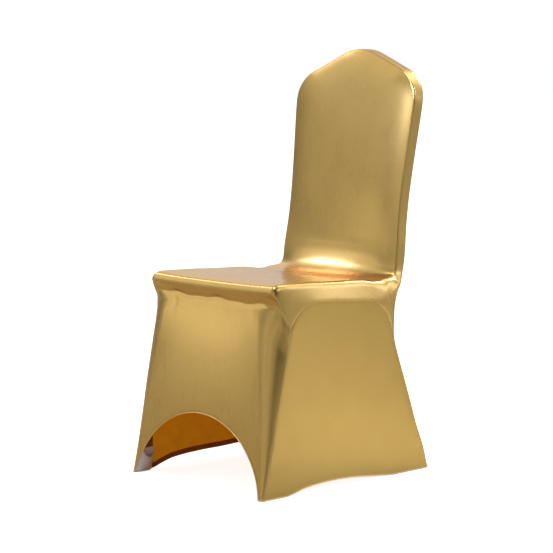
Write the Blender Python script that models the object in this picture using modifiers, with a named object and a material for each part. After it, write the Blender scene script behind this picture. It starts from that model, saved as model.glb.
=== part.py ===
"""Stretch chair cover with a pointed crown: four sewn panels and four foot pockets.

Metres, +Z up, the front faces -Y. The origin is on the floor, under the middle of the cover.
Every panel is an open sheet lofted through its sections, and Solidify gives it the cloth's thickness.
"""
import math

import bmesh
import bpy
from mathutils import Vector

# The cloth
CLOTH_THICKNESS = 0.0010
SEAM_GAP = 0.0007
DEPTH_TO_ORIGIN = 0.2600
HEM_LIFT = 0.0004
MITRE_LIMIT = 0.01
SHARP_ANGLE = math.radians(40)

# The back: its edge, its crown and how far the padding stands proud
CROWN_HEIGHT = 0.930
CROWN_RADIUS = 0.125
CROWN_ANGLE = math.radians(23.0)
CROWN_TILT = 0.035
SHOULDER_RADIUS = 0.075
BACK_HALF_WIDTH = 0.1854
BACK_EDGE_Y = 0.4297
BACK_EDGE_FOOT = 0.452
BACK_LEAN = 0.140
BACK_PADDING = 0.007
BACK_ROLL = 0.004
BACK_THICKNESS = 0.030
REAR_ROLL = 0.011

# The skirt: how its sides close in with height, and where its seams and arches lie
FOOT_HALF_WIDTH = 0.211
SIDE_TAPER = 0.015
FRONT_SEAM_Y = 0.0036
FRONT_SEAM_SLOPE = 0.234
FRONT_FACE_Y = -0.003
FRONT_FACE_SLOPE = 0.100
FRONT_FLARE = 0.0146
FRONT_ARCH_HEIGHT = 0.157
CREASE_HEIGHT = 0.4035
REAR_HEM_RISE = 0.025

# The foot pockets
POCKET_CLOTH = 0.0015
POCKET_CLEARANCE = 0.0012
POCKET_FLOOR_REACH = 0.010
POCKET_TOP_REACH = 0.024
POCKET_CHAMFER = 0.55
POCKET_SIDE_REACH = 0.054
POCKET_HEIGHT = 0.050
POCKET_DIP = 0.020
POCKET_BULGE = 0.007
POCKET_STEPS = 5
POCKET_LEVELS = 3

# How finely the sheets are divided: across half a face, round its edge, and round the crown
FACE_STEPS = 7
EDGE_STEPS = 4
CROWN_STEPS = 18
SKIRT_STEPS = 7
ROUNDING_STEPS = 12
PATCH_SMOOTHING = 40
FACE_POWER = 2.6
KNEE_ROLL = 0.012

# Half width of the back by height: height, half_width
BACK_SIDE = (
    (0.452, 0.1794),
    (0.500, 0.1772),
    (0.540, 0.1743),
    (0.580, 0.1733),
    (0.620, 0.1740),
    (0.700, 0.1783),
    (0.780, 0.1840),
    (0.808, 0.1854),
)

# Heights of the level rows on the back, from the shoulder down
BACK_ROWS = (0.808, 0.755, 0.700, 0.645, 0.595, 0.545)

# The main panel from the foot of the back to the top of the skirt, a row for each section.
# centre: where the section crosses the middle plane. lip: its sharp corner before rounding.
# roll: how far from the corner the rounding starts. seam: where the panel ends.
# knee: share of the way from corner to seam where the side band meets the flat of the side.
# The band comes to a point at TONGUE_ROW: behind it runs the rear panel, in front of it the side panel.
TONGUE_ROW = 8
# centre_y, centre_z, lip_x, lip_y, lip_z, roll, seam_x, seam_y, seam_z, knee
SEAT_ROWS = (
    (0.4245, 0.5000, 0.1772, 0.4324, 0.5000, 0.004, 0.1772, 0.4364, 0.500, 1.0),
    (0.4165, 0.4760, 0.1784, 0.4280, 0.4695, 0.004, 0.1784, 0.4322, 0.470, 1.0),
    (0.4030, 0.4540, 0.1795, 0.4266, 0.4503, 0.005, 0.1794, 0.4297, 0.452, 1.0),
    (0.3870, 0.4400, 0.1815, 0.4212, 0.4382, 0.007, 0.1820, 0.4275, 0.440, 1.0),
    (0.3760, 0.4345, 0.1865, 0.4118, 0.4350, 0.009, 0.1920, 0.4205, 0.420, 1.0),
    (0.3675, 0.4318, 0.1905, 0.4005, 0.4333, 0.010, 0.2000, 0.4070, 0.400, 0.9),
    (0.3610, 0.4308, 0.1920, 0.3910, 0.4330, 0.011, 0.2045, 0.3960, 0.375, 0.7),
    (0.3555, 0.4305, 0.1925, 0.3850, 0.4320, 0.011, 0.2059, 0.3920, 0.340, 0.45),
    (0.3500, 0.4300, 0.1925, 0.3785, 0.4308, 0.011, 0.2065, 0.3930, 0.300, 0.32),
    (0.3430, 0.4300, 0.1925, 0.3710, 0.4300, 0.011, 0.2061, 0.3862, 0.327, 0.38),
    (0.3330, 0.4303, 0.1925, 0.3600, 0.4303, 0.011, 0.2058, 0.3795, 0.347, 0.5),
    (0.3200, 0.4312, 0.1925, 0.3450, 0.4318, 0.012, 0.2055, 0.3640, 0.3675, 0.7),
    (0.3050, 0.4324, 0.1925, 0.3250, 0.4350, 0.012, 0.2053, 0.3420, 0.383, 0.9),
    (0.2860, 0.4341, 0.1925, 0.3000, 0.4374, 0.012, 0.2051, 0.3180, 0.3915, 1.0),
    (0.2450, 0.4367, 0.1925, 0.2530, 0.4390, 0.012, 0.2051, 0.2660, 0.3952, 1.0),
    (0.2000, 0.4390, 0.1930, 0.2050, 0.4406, 0.011, 0.2050, 0.2120, 0.3998, 1.0),
    (0.1550, 0.4415, 0.1935, 0.1580, 0.4430, 0.010, 0.2050, 0.1680, 0.4015, 1.0),
    (0.1100, 0.4423, 0.1945, 0.1150, 0.4440, 0.010, 0.2050, 0.1420, 0.398, 1.0),
    (0.0780, 0.4425, 0.1955, 0.0800, 0.4450, 0.009, 0.2051, 0.1210, 0.390, 1.0),
    (0.0570, 0.4405, 0.1960, 0.0550, 0.4440, 0.009, 0.2053, 0.1050, 0.3765, 1.0),
    (0.0470, 0.4345, 0.1960, 0.0440, 0.4360, 0.009, 0.2055, 0.0940, 0.363, 1.0),
    (0.0460, 0.4230, 0.1960, 0.0435, 0.4250, 0.011, 0.2057, 0.0870, 0.351, 1.0),
    (0.0520, 0.4035, 0.1960, 0.0525, 0.4110, 0.030, 0.2059, 0.0828, 0.338, 1.0),
    (0.0463, 0.3850, 0.1985, 0.0485, 0.3860, 0.056, 0.2062, 0.0780, 0.318, 1.0),
)

# The skirt's front corner by height: height, corner_y, roll
SKIRT_CORNER = (
    (0.000, -0.0060, 0.0115),
    (0.050, 0.0025, 0.0180),
    (0.100, 0.0092, 0.0235),
    (0.150, 0.0155, 0.0280),
    (0.200, 0.0212, 0.0330),
    (0.250, 0.0277, 0.0400),
    (0.300, 0.0340, 0.0470),
    (0.340, 0.0388, 0.0530),
    (0.380, 0.0445, 0.0560),
)
SKIRT_TOP_CENTRE = 0.365
SKIRT_TOP_CORNER = 0.362
SKIRT_TOP_SEAM = 0.2985

# The rear edge by height: height, seam_x, seam_y, band (seam to rear corner), roll, bow at the middle
REAR_EDGE = (
    (0.000, 0.2110, 0.4995, 0.006, 0.006, 0.000),
    (0.050, 0.2103, 0.4850, 0.006, 0.006, 0.001),
    (0.100, 0.2095, 0.4640, 0.006, 0.006, 0.002),
    (0.150, 0.2088, 0.4460, 0.006, 0.006, 0.005),
    (0.200, 0.2080, 0.4283, 0.006, 0.006, 0.009),
    (0.250, 0.2073, 0.4093, 0.006, 0.006, 0.014),
    (0.300, 0.2065, 0.3930, 0.006, 0.006, 0.019),
    (0.340, 0.2059, 0.3920, 0.006, 0.006, 0.021),
    (0.375, 0.2045, 0.3960, 0.006, 0.006, 0.022),
    (0.400, 0.2000, 0.4070, 0.008, 0.008, 0.020),
    (0.420, 0.1920, 0.4205, 0.015, 0.010, 0.015),
    (0.440, 0.1820, 0.4275, 0.024, 0.011, 0.008),
    (0.452, 0.1794, 0.4297, 0.028, 0.011, 0.004),
    (0.470, 0.1784, 0.4322, 0.030, 0.011, 0.002),
    (0.500, 0.1772, 0.4364, 0.030, 0.011, 0.002),
)

# The side panels' hems, stretched unevenly: depth, height
LEFT_HEM = (
    (0.000, 0.0000), (0.050, 0.0000), (0.080, 0.0090), (0.115, 0.0172), (0.185, 0.0220),
    (0.260, 0.0226), (0.330, 0.0236), (0.400, 0.0150), (0.450, 0.0020), (0.470, 0.0000), (0.500, 0.0000),
)
RIGHT_HEM = (
    (0.000, 0.0000), (0.055, 0.0000), (0.082, 0.0040), (0.117, 0.0114), (0.187, 0.0166),
    (0.260, 0.0150), (0.330, 0.0078), (0.400, 0.0012), (0.440, 0.0000), (0.500, 0.0000),
)


def lookup(table, key):
    """Smooth values at key from a table whose first column rises, by cubic Hermite pieces."""
    last = len(table) - 1
    low = max(i for i in range(last) if i == 0 or table[i][0] <= key)
    high = low + 1
    before, after = max(low - 1, 0), min(high + 1, last)
    span = table[high][0] - table[low][0]
    step = (key - table[low][0]) / span
    values = []
    for column in range(1, len(table[0])):
        start, end = table[low][column], table[high][column]
        leave = (end - table[before][column]) / (table[high][0] - table[before][0]) * span
        arrive = (table[after][column] - start) / (table[after][0] - table[low][0]) * span
        cubic = 2 * (start - end) + leave + arrive
        square = 3 * (end - start) - 2 * leave - arrive
        values.append(((cubic * step + square) * step + leave) * step + start)
    return values


def side_x(height):
    """Half width of the skirt's flat sides."""
    return FOOT_HALF_WIDTH - SIDE_TAPER * height


def back_edge_y(height):
    """Depth of the seam along the back's edge."""
    return BACK_EDGE_Y + BACK_LEAN * (height - BACK_EDGE_FOOT)


def crown_z(x):
    """Height of the crown's outline: a round apex, a straight slope and a round shoulder.

    The cover was pulled on a little askew, so the right shoulder stands higher than the left one.
    """
    slope = math.tan(CROWN_ANGLE)
    apex_end = CROWN_RADIUS * math.sin(CROWN_ANGLE)
    apex_end_z = CROWN_HEIGHT - CROWN_RADIUS * (1 - math.cos(CROWN_ANGLE))
    corner_z = apex_end_z - slope * (BACK_HALF_WIDTH - apex_end)
    tangent = SHOULDER_RADIUS * math.tan((math.pi / 2 - CROWN_ANGLE) / 2)
    shoulder_x = BACK_HALF_WIDTH - tangent * math.cos(CROWN_ANGLE)
    if abs(x) < apex_end:
        z = CROWN_HEIGHT - CROWN_RADIUS + math.sqrt(CROWN_RADIUS ** 2 - x ** 2)
    elif abs(x) < shoulder_x:
        z = apex_end_z - slope * (abs(x) - apex_end)
    else:
        reach = abs(x) - (BACK_HALF_WIDTH - SHOULDER_RADIUS)
        z = corner_z - tangent + math.sqrt(max(SHOULDER_RADIUS ** 2 - reach ** 2, 0.0))
    return z + CROWN_TILT * x * (z - BACK_ROWS[0]) / (CROWN_HEIGHT - BACK_ROWS[0])


def front_face_y(height):
    """Depth of the front skirt at the middle: it flares out from under the seat's edge."""
    rise = max(height - FRONT_ARCH_HEIGHT, 0.0) / (CREASE_HEIGHT - FRONT_ARCH_HEIGHT)
    return FRONT_FACE_Y + FRONT_FACE_SLOPE * height + FRONT_FLARE * rise ** 4


def side_hem_z(y, hem_line):
    """Height of a side panel's hem: flat at both feet, a low arch between them."""
    return max(lookup(hem_line, y)[0], 0.0)


def face_share(step):
    """Share of the half face that a column reaches, closer together towards the edge."""
    return math.sin(math.pi / 2 * step / FACE_STEPS)


def rounded_path(stops, rolls):
    """A path through its stops with each inner stop rounded off, as many fine points."""
    path = [stops[0]]
    for before, stop, after, roll in zip(stops, stops[1:], stops[2:], rolls):
        start = stop.lerp(before, min(roll / (before - stop).length, 1.0))
        end = stop.lerp(after, min(roll / (after - stop).length, 1.0))
        for i in range(ROUNDING_STEPS + 1):
            t = i / ROUNDING_STEPS
            path.append(start * (1 - t) ** 2 + stop * (2 * t * (1 - t)) + end * t ** 2)
    path.append(stops[-1])
    return path


def evenly_spaced(path, steps):
    """Points at even distances along a path, without its first."""
    walked = [0.0]
    for a, b in zip(path, path[1:]):
        walked.append(walked[-1] + (b - a).length)
    points = []
    for step in range(1, steps):
        goal = walked[-1] * step / steps
        i = max(k for k in range(len(path)) if walked[k] <= goal)
        points.append(path[i].lerp(path[i + 1], (goal - walked[i]) / (walked[i + 1] - walked[i])))
    return points + [path[-1]]


def half_section(base, bulge, corner, seam, roll, knee=1.0):
    """Half a section: across the face from the middle to the corner, then round it to the seam.

    knee is the share of the way from corner to seam at which the section meets the flat of the side.
    """
    reach = 1 - roll / (corner - base).length

    def face(share):
        return base.lerp(corner, share) + bulge * (1 - share ** FACE_POWER)

    points = [face(reach * face_share(step)) for step in range(FACE_STEPS + 1)]
    stops = [points[-1], corner, seam]
    if knee < 1.0:
        bend = corner.lerp(seam, knee)
        bend.x = side_x(bend.z)
        stops.insert(2, bend)
    path = rounded_path(stops, (roll, KNEE_ROLL))
    return points + evenly_spaced(path, EDGE_STEPS)


def mirrored(half):
    """A whole section from left to right, from its right half."""
    left = [Vector((-p.x, p.y, p.z)) for p in reversed(half[1:])]
    return left + half


def front_back_section(height):
    """A level section of the back's front face."""
    width = lookup(BACK_SIDE, height)[0]
    edge = back_edge_y(height)
    base = Vector((0, edge - BACK_ROLL, height))
    corner = Vector((width, edge - BACK_ROLL, height))
    seam = Vector((width, edge, height))
    return half_section(base, Vector((0, -BACK_PADDING, 0)), corner, seam, BACK_ROLL)


def rear_section(height):
    """A level section of the rear panel, from the middle round the rear corner to the seam."""
    if height > REAR_EDGE[-1][0]:
        width = lookup(BACK_SIDE, height)[0]
        edge = back_edge_y(height)
        band, roll, bow = BACK_THICKNESS, REAR_ROLL, REAR_EDGE[-1][5]
    else:
        width, edge, band, roll, bow = lookup(REAR_EDGE, height)
    base = Vector((0, edge + band, height))
    corner = Vector((width, edge + band, height))
    return half_section(base, Vector((0, bow, 0)), corner, Vector((width, edge, height)), roll)


def crown_section(angle, depth, bulge, roll):
    """A section of the crown along a ray from the middle of the shoulder line to the outline."""
    middle_z = BACK_ROWS[0]
    x = BACK_HALF_WIDTH * math.cos(angle)
    z = crown_z(x) if 0 < angle < math.pi else middle_z
    base = Vector((0, back_edge_y(middle_z) + depth, middle_z))
    corner = Vector((x, back_edge_y(z) + depth, z))
    seam = Vector((x, back_edge_y(z), z))
    return half_section(base, Vector((0, bulge, 0)), corner, seam, roll)


def seam_point(row):
    """Where a row of SEAT_ROWS ends at the panel's seam."""
    return Vector(row[6:9])


def seat_section(row):
    """A section of the main panel from a row of SEAT_ROWS."""
    centre_y, centre_z, lip_x, lip_y, lip_z, roll = row[:6]
    base = Vector((0, lip_y, lip_z))
    bulge = Vector((0, centre_y - lip_y, centre_z - lip_z))
    return half_section(base, bulge, Vector((lip_x, lip_y, lip_z)), seam_point(row), roll, row[-1])


def skirt_level(height):
    """A level section of the front skirt with its rounded corner."""
    corner_y, roll = lookup(SKIRT_CORNER, height)
    base = Vector((0, corner_y, height))
    bulge = Vector((0, front_face_y(height) - corner_y, 0))
    corner = Vector((side_x(height), corner_y, height))
    seam = Vector((side_x(height), FRONT_SEAM_Y + FRONT_SEAM_SLOPE * height, height))
    return half_section(base, bulge, corner, seam, roll)


def skirt_section(share):
    """A row of the front skirt: share 0 is its top, share 1 its arched hem."""
    points = []
    for column in range(FACE_STEPS + EDGE_STEPS + 1):
        if column <= FACE_STEPS:
            across = face_share(column)
            top = SKIRT_TOP_CENTRE + (SKIRT_TOP_CORNER - SKIRT_TOP_CENTRE) * across ** FACE_POWER
            hem = FRONT_ARCH_HEIGHT * math.sqrt(max(1 - across ** 2, 0.0))
        else:
            across = (column - FACE_STEPS) / EDGE_STEPS
            top = SKIRT_TOP_CORNER + (SKIRT_TOP_SEAM - SKIRT_TOP_CORNER) * across
            hem = 0.0
        points.append(skirt_level(top * (1 - share) + hem * share)[column])
    return points


def rear_skirt_section(share):
    """A row of the rear skirt: share 0 is level with the side panel's shoulder, share 1 its hem."""
    top = seam_point(SEAT_ROWS[TONGUE_ROW]).z
    points = []
    for column in range(FACE_STEPS + EDGE_STEPS + 1):
        across = face_share(min(column, FACE_STEPS))
        hem = REAR_HEM_RISE * (1 - across ** 2)
        points.append(rear_section(top * (1 - share) + hem * share)[column])
    return points


def sheet_mesh(name, sections, crown, faces_rear):
    """An open sheet of quads through whole sections, closed at its top by the crown's rays."""
    bm = bmesh.new()
    rows = [[bm.verts.new(p) for p in section] for section in sections]
    middle = FACE_STEPS + EDGE_STEPS
    rays = [rows[0][middle:]]
    for half in crown[1:-1]:
        rays.append([rows[0][middle]] + [bm.verts.new(p) for p in half[1:]])
    rays.append(list(reversed(rows[0][:middle + 1])))
    quads = []
    for upper, lower in zip(rows, rows[1:]):
        for c in range(len(upper) - 1):
            quads.append((upper[c], lower[c], lower[c + 1], upper[c + 1]))
    for near, far in zip(rays, rays[1:]):
        quads.append((near[0], near[1], far[1]))
        for c in range(1, len(near) - 1):
            quads.append((near[c], near[c + 1], far[c + 1], far[c]))
    for quad in quads:
        bm.faces.new(tuple(reversed(quad)) if faces_rear else quad)
    return finished_sheet(name, bm, set(rows[-1]))


def finished_sheet(name, bm, hem):
    """Draw a sheet's seam edges back by half the gap, keep its hem, and make it a mesh."""
    bm.normal_update()
    shifts = {}
    for edge in bm.edges:
        if not edge.is_boundary or (edge.verts[0] in hem and edge.verts[1] in hem):
            continue
        face = edge.link_faces[0]
        inward = face.normal.cross(edge.verts[1].co - edge.verts[0].co).normalized()
        if inward.dot(face.calc_center_median() - edge.verts[0].co) < 0:
            inward.negate()
        for vert in edge.verts:
            shifts.setdefault(vert, []).append(inward)
    for vert, ways in shifts.items():
        mean = sum(ways, Vector()) / len(ways)
        move = mean * (SEAM_GAP / 2) / max(mean.length_squared, MITRE_LIMIT)
        if vert in hem:
            move.z = 0
        vert.co += move
    for vert in hem:
        vert.co.z = max(vert.co.z, HEM_LIFT)
    bmesh.ops.translate(bm, vec=(0, -DEPTH_TO_ORIGIN, 0), verts=bm.verts)
    mesh = bpy.data.meshes.new(name)
    bm.to_mesh(mesh)
    bm.free()
    return mesh


def main_panel_mesh():
    """Front face of the back, seat, side bands and front skirt in one sheet."""
    halves = [front_back_section(z) for z in BACK_ROWS]
    halves += [seat_section(row) for row in SEAT_ROWS]
    halves += [skirt_section(step / SKIRT_STEPS) for step in range(SKIRT_STEPS + 1)]
    angles = [math.pi * step / CROWN_STEPS for step in range(CROWN_STEPS + 1)]
    crown = [crown_section(angle, -BACK_ROLL, -BACK_PADDING, BACK_ROLL) for angle in angles]
    return sheet_mesh("main_panel", [mirrored(half) for half in halves], crown, False)


def rear_panel_mesh():
    """Edge band round the back, rear face and rear skirt in one sheet."""
    halves = [rear_section(z) for z in BACK_ROWS]
    halves += [rear_section(seam_point(row).z) for row in SEAT_ROWS[:TONGUE_ROW]]
    halves += [rear_skirt_section(step / SKIRT_STEPS) for step in range(SKIRT_STEPS + 1)]
    angles = [math.pi * step / CROWN_STEPS for step in range(CROWN_STEPS + 1)]
    bow = REAR_EDGE[-1][5]
    crown = [crown_section(angle, BACK_THICKNESS, bow, REAR_ROLL) for angle in angles]
    return sheet_mesh("rear_panel", [mirrored(half) for half in halves], crown, True)


def side_panel_mesh(name, side, hem_line):
    """A side gusset: a patch between the main panel's seam, the rear seam and the arched hem."""
    top = [seam_point(row) for row in SEAT_ROWS[TONGUE_ROW:]]
    top.append(skirt_section(0.0)[-1])
    front = [skirt_section(1 - step / SKIRT_STEPS)[-1] for step in range(SKIRT_STEPS + 1)]
    rear = [rear_skirt_section(1 - step / SKIRT_STEPS)[-1] for step in range(SKIRT_STEPS + 1)]
    columns = len(top) - 1
    hem = []
    for step in range(columns + 1):
        y = rear[0].y + (front[0].y - rear[0].y) * step / columns
        z = side_hem_z(y, hem_line)
        hem.append(Vector((side_x(z), y, z)))
    bm = bmesh.new()
    rows = []
    for j in range(SKIRT_STEPS + 1):
        up = j / SKIRT_STEPS
        row = []
        for i in range(columns + 1):
            on = i / columns
            between = rear[j].lerp(front[j], on) + hem[i].lerp(top[i], up)
            corners = hem[0].lerp(hem[-1], on).lerp(top[0].lerp(top[-1], on), up)
            point = between - corners
            row.append(bm.verts.new((side * point.x, point.y, point.z)))
        rows.append(row)
    for lower, upper in zip(rows, rows[1:]):
        for i in range(columns):
            quad = (lower[i], upper[i], upper[i + 1], lower[i + 1])
            bm.faces.new(quad if side > 0 else tuple(reversed(quad)))
    inner = [vert for row in rows[1:-1] for vert in row[1:-1]]
    for _ in range(PATCH_SMOOTHING):
        bmesh.ops.smooth_vert(bm, verts=inner, factor=0.5, use_axis_x=True, use_axis_y=True, use_axis_z=True)
    for corner, inside in ((rows[-1][0], rows[-2][1]), (rows[-1][-1], rows[-2][-2])):
        bmesh.ops.connect_verts(bm, verts=[corner, inside])
    return finished_sheet(name, bm, set(rows[0]))


def skirt_corner_y(height, front):
    """Depth of the skirt's front or rear face at its corner, straight over the lowest row of quads."""
    row_height = SKIRT_TOP_SEAM / SKIRT_STEPS
    if front:
        floor_y, row_y = skirt_level(0.0)[FACE_STEPS].y, skirt_level(row_height)[FACE_STEPS].y
    else:
        floor_y, row_y = rear_section(0.0)[FACE_STEPS].y, rear_section(row_height)[FACE_STEPS].y
    return floor_y + (row_y - floor_y) * height / row_height


def pocket_ring(height, front):
    """Outline of a foot pocket at a height, from its corner seam to its open inner wall."""
    inset = CLOTH_THICKNESS + POCKET_CLEARANCE
    x_wall = side_x(height) - inset
    toward = 1 if front else -1
    corner_y = skirt_corner_y(height, front) + toward * inset
    side_end = corner_y + toward * POCKET_SIDE_REACH
    reach = POCKET_FLOOR_REACH + (POCKET_TOP_REACH - POCKET_FLOOR_REACH) * height / POCKET_HEIGHT
    chamfer = POCKET_CHAMFER * reach
    front_end = x_wall - reach
    ring = [(x_wall, corner_y + toward * chamfer), (x_wall, side_end)]
    for step in range(1, POCKET_STEPS):
        t = step / POCKET_STEPS
        bulge = POCKET_BULGE * math.sin(math.pi * t)
        x = x_wall + (front_end - x_wall) * t - bulge
        y = side_end + (corner_y - side_end) * t + toward * bulge
        ring.append((x, y))
    ring += [(front_end, corner_y), (x_wall - chamfer, corner_y)]
    return ring


def pocket_mesh(name, side, front):
    """A small cloth cup that stands in a corner of the skirt, open at its top."""
    bm = bmesh.new()
    rows = []
    count = len(pocket_ring(0.0, front))
    for level in range(POCKET_LEVELS + 1):
        share = level / POCKET_LEVELS
        row = []
        for i in range(count):
            dip = POCKET_DIP * math.sin(math.pi * (i - 1) / (count - 3)) if 1 <= i <= count - 2 else 0.0
            height = share * (POCKET_HEIGHT - dip)
            x, y = pocket_ring(height, front)[i]
            row.append(bm.verts.new((side * x, y - DEPTH_TO_ORIGIN, height)))
        rows.append(row)
    for lower, upper in zip(rows, rows[1:]):
        for i in range(len(lower)):
            j = (i + 1) % len(lower)
            bm.faces.new((lower[i], lower[j], upper[j], upper[i]))
    bm.faces.new(list(reversed(rows[0])))
    if (side > 0) != front:
        bmesh.ops.reverse_faces(bm, faces=bm.faces)
    mesh = bpy.data.meshes.new(name)
    bm.to_mesh(mesh)
    bm.free()
    return mesh


def cloth_material(name, colour, roughness, metallic):
    """A plain finish for one cloth."""
    material = bpy.data.materials.new(name)
    material.use_nodes = True
    shader = material.node_tree.nodes["Principled BSDF"]
    shader.inputs["Base Color"].default_value = (*colour, 1.0)
    shader.inputs["Roughness"].default_value = roughness
    shader.inputs["Metallic"].default_value = metallic
    return material


def add_cloth(collection, mesh, material, thickness):
    """Put a sheet in the scene and give it the cloth's thickness on its inner side."""
    mesh.materials.append(material)
    mesh.shade_smooth()
    mesh.set_sharp_from_angle(angle=SHARP_ANGLE)
    cloth = bpy.data.objects.new(mesh.name, mesh)
    collection.objects.link(cloth)
    solidify = cloth.modifiers.new("Thickness", "SOLIDIFY")
    solidify.thickness = thickness
    solidify.offset = -1
    solidify.use_even_offset = False
    return cloth


def build():
    for scene_object in list(bpy.data.objects):
        bpy.data.objects.remove(scene_object)
    cover = bpy.data.collections.new("stretch_chair_cover")
    bpy.context.scene.collection.children.link(cover)
    gold = {
        "main": cloth_material("metallic_gold_main", (0.50, 0.35, 0.12), 0.36, 0.85),
        "rear": cloth_material("metallic_gold_rear", (0.47, 0.33, 0.11), 0.36, 0.85),
        "side": cloth_material("metallic_gold_side", (0.46, 0.31, 0.09), 0.38, 0.80),
    }
    grey = cloth_material("pocket_grey", (0.45, 0.43, 0.42), 0.8, 0.0)
    add_cloth(cover, main_panel_mesh(), gold["main"], CLOTH_THICKNESS)
    add_cloth(cover, rear_panel_mesh(), gold["rear"], CLOTH_THICKNESS)
    for side, hand, hem_line in ((-1, "left", LEFT_HEM), (1, "right", RIGHT_HEM)):
        gusset = side_panel_mesh(f"side_panel_{hand}", side, hem_line)
        add_cloth(cover, gusset, gold["side"], CLOTH_THICKNESS)
        for front, end in ((True, "front"), (False, "rear")):
            pocket = pocket_mesh(f"foot_pocket_{end}_{hand}", side, front)
            add_cloth(cover, pocket, grey, POCKET_CLOTH)


build()
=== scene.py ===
# %% [markdown]
# This lesson dresses a fitted cloth cover for a high-backed seat. They give every sheet its size and
# place, and the lesson then makes finer sheets of the same shape, with folds, hems, stitches and a
# metallic finish.

# %% Load the solids that give the size and place of every sheet
import math

import bmesh
import bpy
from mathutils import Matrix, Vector, kdtree


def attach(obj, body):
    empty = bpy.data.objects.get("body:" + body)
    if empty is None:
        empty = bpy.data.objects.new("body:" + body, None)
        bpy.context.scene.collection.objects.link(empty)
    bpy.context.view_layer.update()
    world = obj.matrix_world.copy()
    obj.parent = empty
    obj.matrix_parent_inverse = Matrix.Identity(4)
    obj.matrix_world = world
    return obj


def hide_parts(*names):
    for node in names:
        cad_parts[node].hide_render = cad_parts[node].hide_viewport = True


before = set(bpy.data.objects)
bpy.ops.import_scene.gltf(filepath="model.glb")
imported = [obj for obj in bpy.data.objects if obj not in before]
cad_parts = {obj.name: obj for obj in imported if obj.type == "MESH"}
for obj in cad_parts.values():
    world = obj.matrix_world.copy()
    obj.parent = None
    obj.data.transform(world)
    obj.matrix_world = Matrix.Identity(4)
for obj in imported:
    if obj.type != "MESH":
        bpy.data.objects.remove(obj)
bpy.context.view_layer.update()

print("solids:", sorted(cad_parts))

# %% [markdown]
# The camera comes first, because it decides what matters. It was fitted to the straight edges of the
# cover: a long lens from four metres away, turned 46.5 degrees to the right of the front and tipped
# 6.4 degrees down. A long lens keeps the upright edges almost parallel.

# %% Set the camera
CAMERA_PLACE = Vector((3.1669, -3.0275, 0.923))
CAMERA_TURN = math.radians(46.51)
CAMERA_TIP = math.radians(6.402)
LENS_MM = 130.2


def placed(name, data):
    """Put a mesh, a lamp or a camera in the scene as an object."""
    thing = bpy.data.objects.new(name, data)
    bpy.context.scene.collection.objects.link(thing)
    return thing


camera_data = bpy.data.cameras.new("camera")
camera_data.lens = LENS_MM
camera_data.sensor_width = 36
camera = placed("camera", camera_data)
camera.location = CAMERA_PLACE
look = Vector((
    -math.sin(CAMERA_TURN) * math.cos(CAMERA_TIP),
    math.cos(CAMERA_TURN) * math.cos(CAMERA_TIP),
    -math.sin(CAMERA_TIP),
))
camera.rotation_mode = "QUATERNION"
camera.rotation_quaternion = look.to_track_quat("-Z", "Y")
bpy.context.scene.camera = camera
print("camera looks along", [round(v, 3) for v in look])

# %% [markdown]
# Shader maths reads best as plain sums. This class wraps one socket: adding or multiplying two of them
# makes the Math node, and `node` makes any other kind. Python then shows the recipe of a finish, and the
# trees that make the hems are written with it too.


# %% A socket with arithmetic
def plug(node, sockets):
    """Give the inputs of a node their values, or link them to the outputs of other nodes."""
    for name, value in sockets.items():
        if isinstance(value, Paint):
            value.tree.links.new(value.socket, node.inputs[name])
        else:
            node.inputs[name].default_value = value


class Paint:
    """One output socket of a node tree. Sums on it become Math nodes."""

    def __init__(self, tree, socket=None):
        self.tree = tree
        self.socket = socket

    def node(self, kind, settings, sockets, output=0):
        """Make a node with its settings and the values or links of its inputs: one of its outputs."""
        made = self.tree.nodes.new(kind)
        for name, value in settings.items():
            setattr(made, name, value)
        plug(made, sockets)
        return Paint(self.tree, made.outputs[output])

    def beside(self, name):
        """Another output of the same node."""
        return Paint(self.tree, self.socket.node.outputs[name])

    def maths(self, operation, first, second):
        """One Math node."""
        return self.node("ShaderNodeMath", {"operation": operation}, {0: first, 1: second})

    def __add__(self, other):
        return self.maths("ADD", self, other)

    __radd__ = __add__

    def __sub__(self, other):
        return self.maths("SUBTRACT", self, other)

    def __rsub__(self, other):
        return self.maths("SUBTRACT", other, self)

    def __mul__(self, other):
        return self.maths("MULTIPLY", self, other)

    __rmul__ = __mul__


def new_finish(name):
    """An empty material: its Paint, its Principled node and the material."""
    material = bpy.data.materials.new(name)
    material.use_nodes = True
    return Paint(material.node_tree), material.node_tree.nodes["Principled BSDF"], material


def mixed(paint, share, first, second):
    """A colour between two others: share 0 is the first, share 1 the second."""
    return paint.node("ShaderNodeMix", {"data_type": "RGBA"}, {"Factor": share, "A": first, "B": second}, 2)


# %% [markdown]
# The outer cloth is a fine stretch knit with a metal foil coating, so it is a metal with a wide, satin
# gloss. Two things keep it from looking like paint: long faint streaks along the knit, where the coating
# opens, and a slow change of gloss from place to place. Both read the piece's own UV map, which is
# measured in metres on the cloth, so they follow the sheet over every edge. The side panels get a duller
# gloss and a slightly deeper gold, which is painted shade: a shaded copy of the gold for the flat sides.

# %% The gold cloth
GOLD = (0.570, 0.380, 0.114)
GOLD_DEEP = (0.500, 0.320, 0.086)
# Painted shade: a darker copy of the gold for the side panels.
GOLD_SIDE_SHADED = (0.522, 0.347, 0.091)
GOLD_SIDE_SHADED_DEEP = (0.458, 0.292, 0.069)


def cloth_uv(paint, across, along):
    """The cloth's own coordinates, stretched to a number of repeats per metre each way."""
    uv = paint.node("ShaderNodeUVMap", {"uv_map": "cloth"}, {})
    return paint.node("ShaderNodeMapping", {}, {"Vector": uv, "Scale": (across, along, 1)})


def cloth_noise(paint, across, along, detail=2.0):
    """Soft noise on the cloth's coordinates, from 0 to 1."""
    return paint.node(
        "ShaderNodeTexNoise", {}, {"Vector": cloth_uv(paint, across, along), "Scale": 1.0, "Detail": detail}
    )


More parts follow.
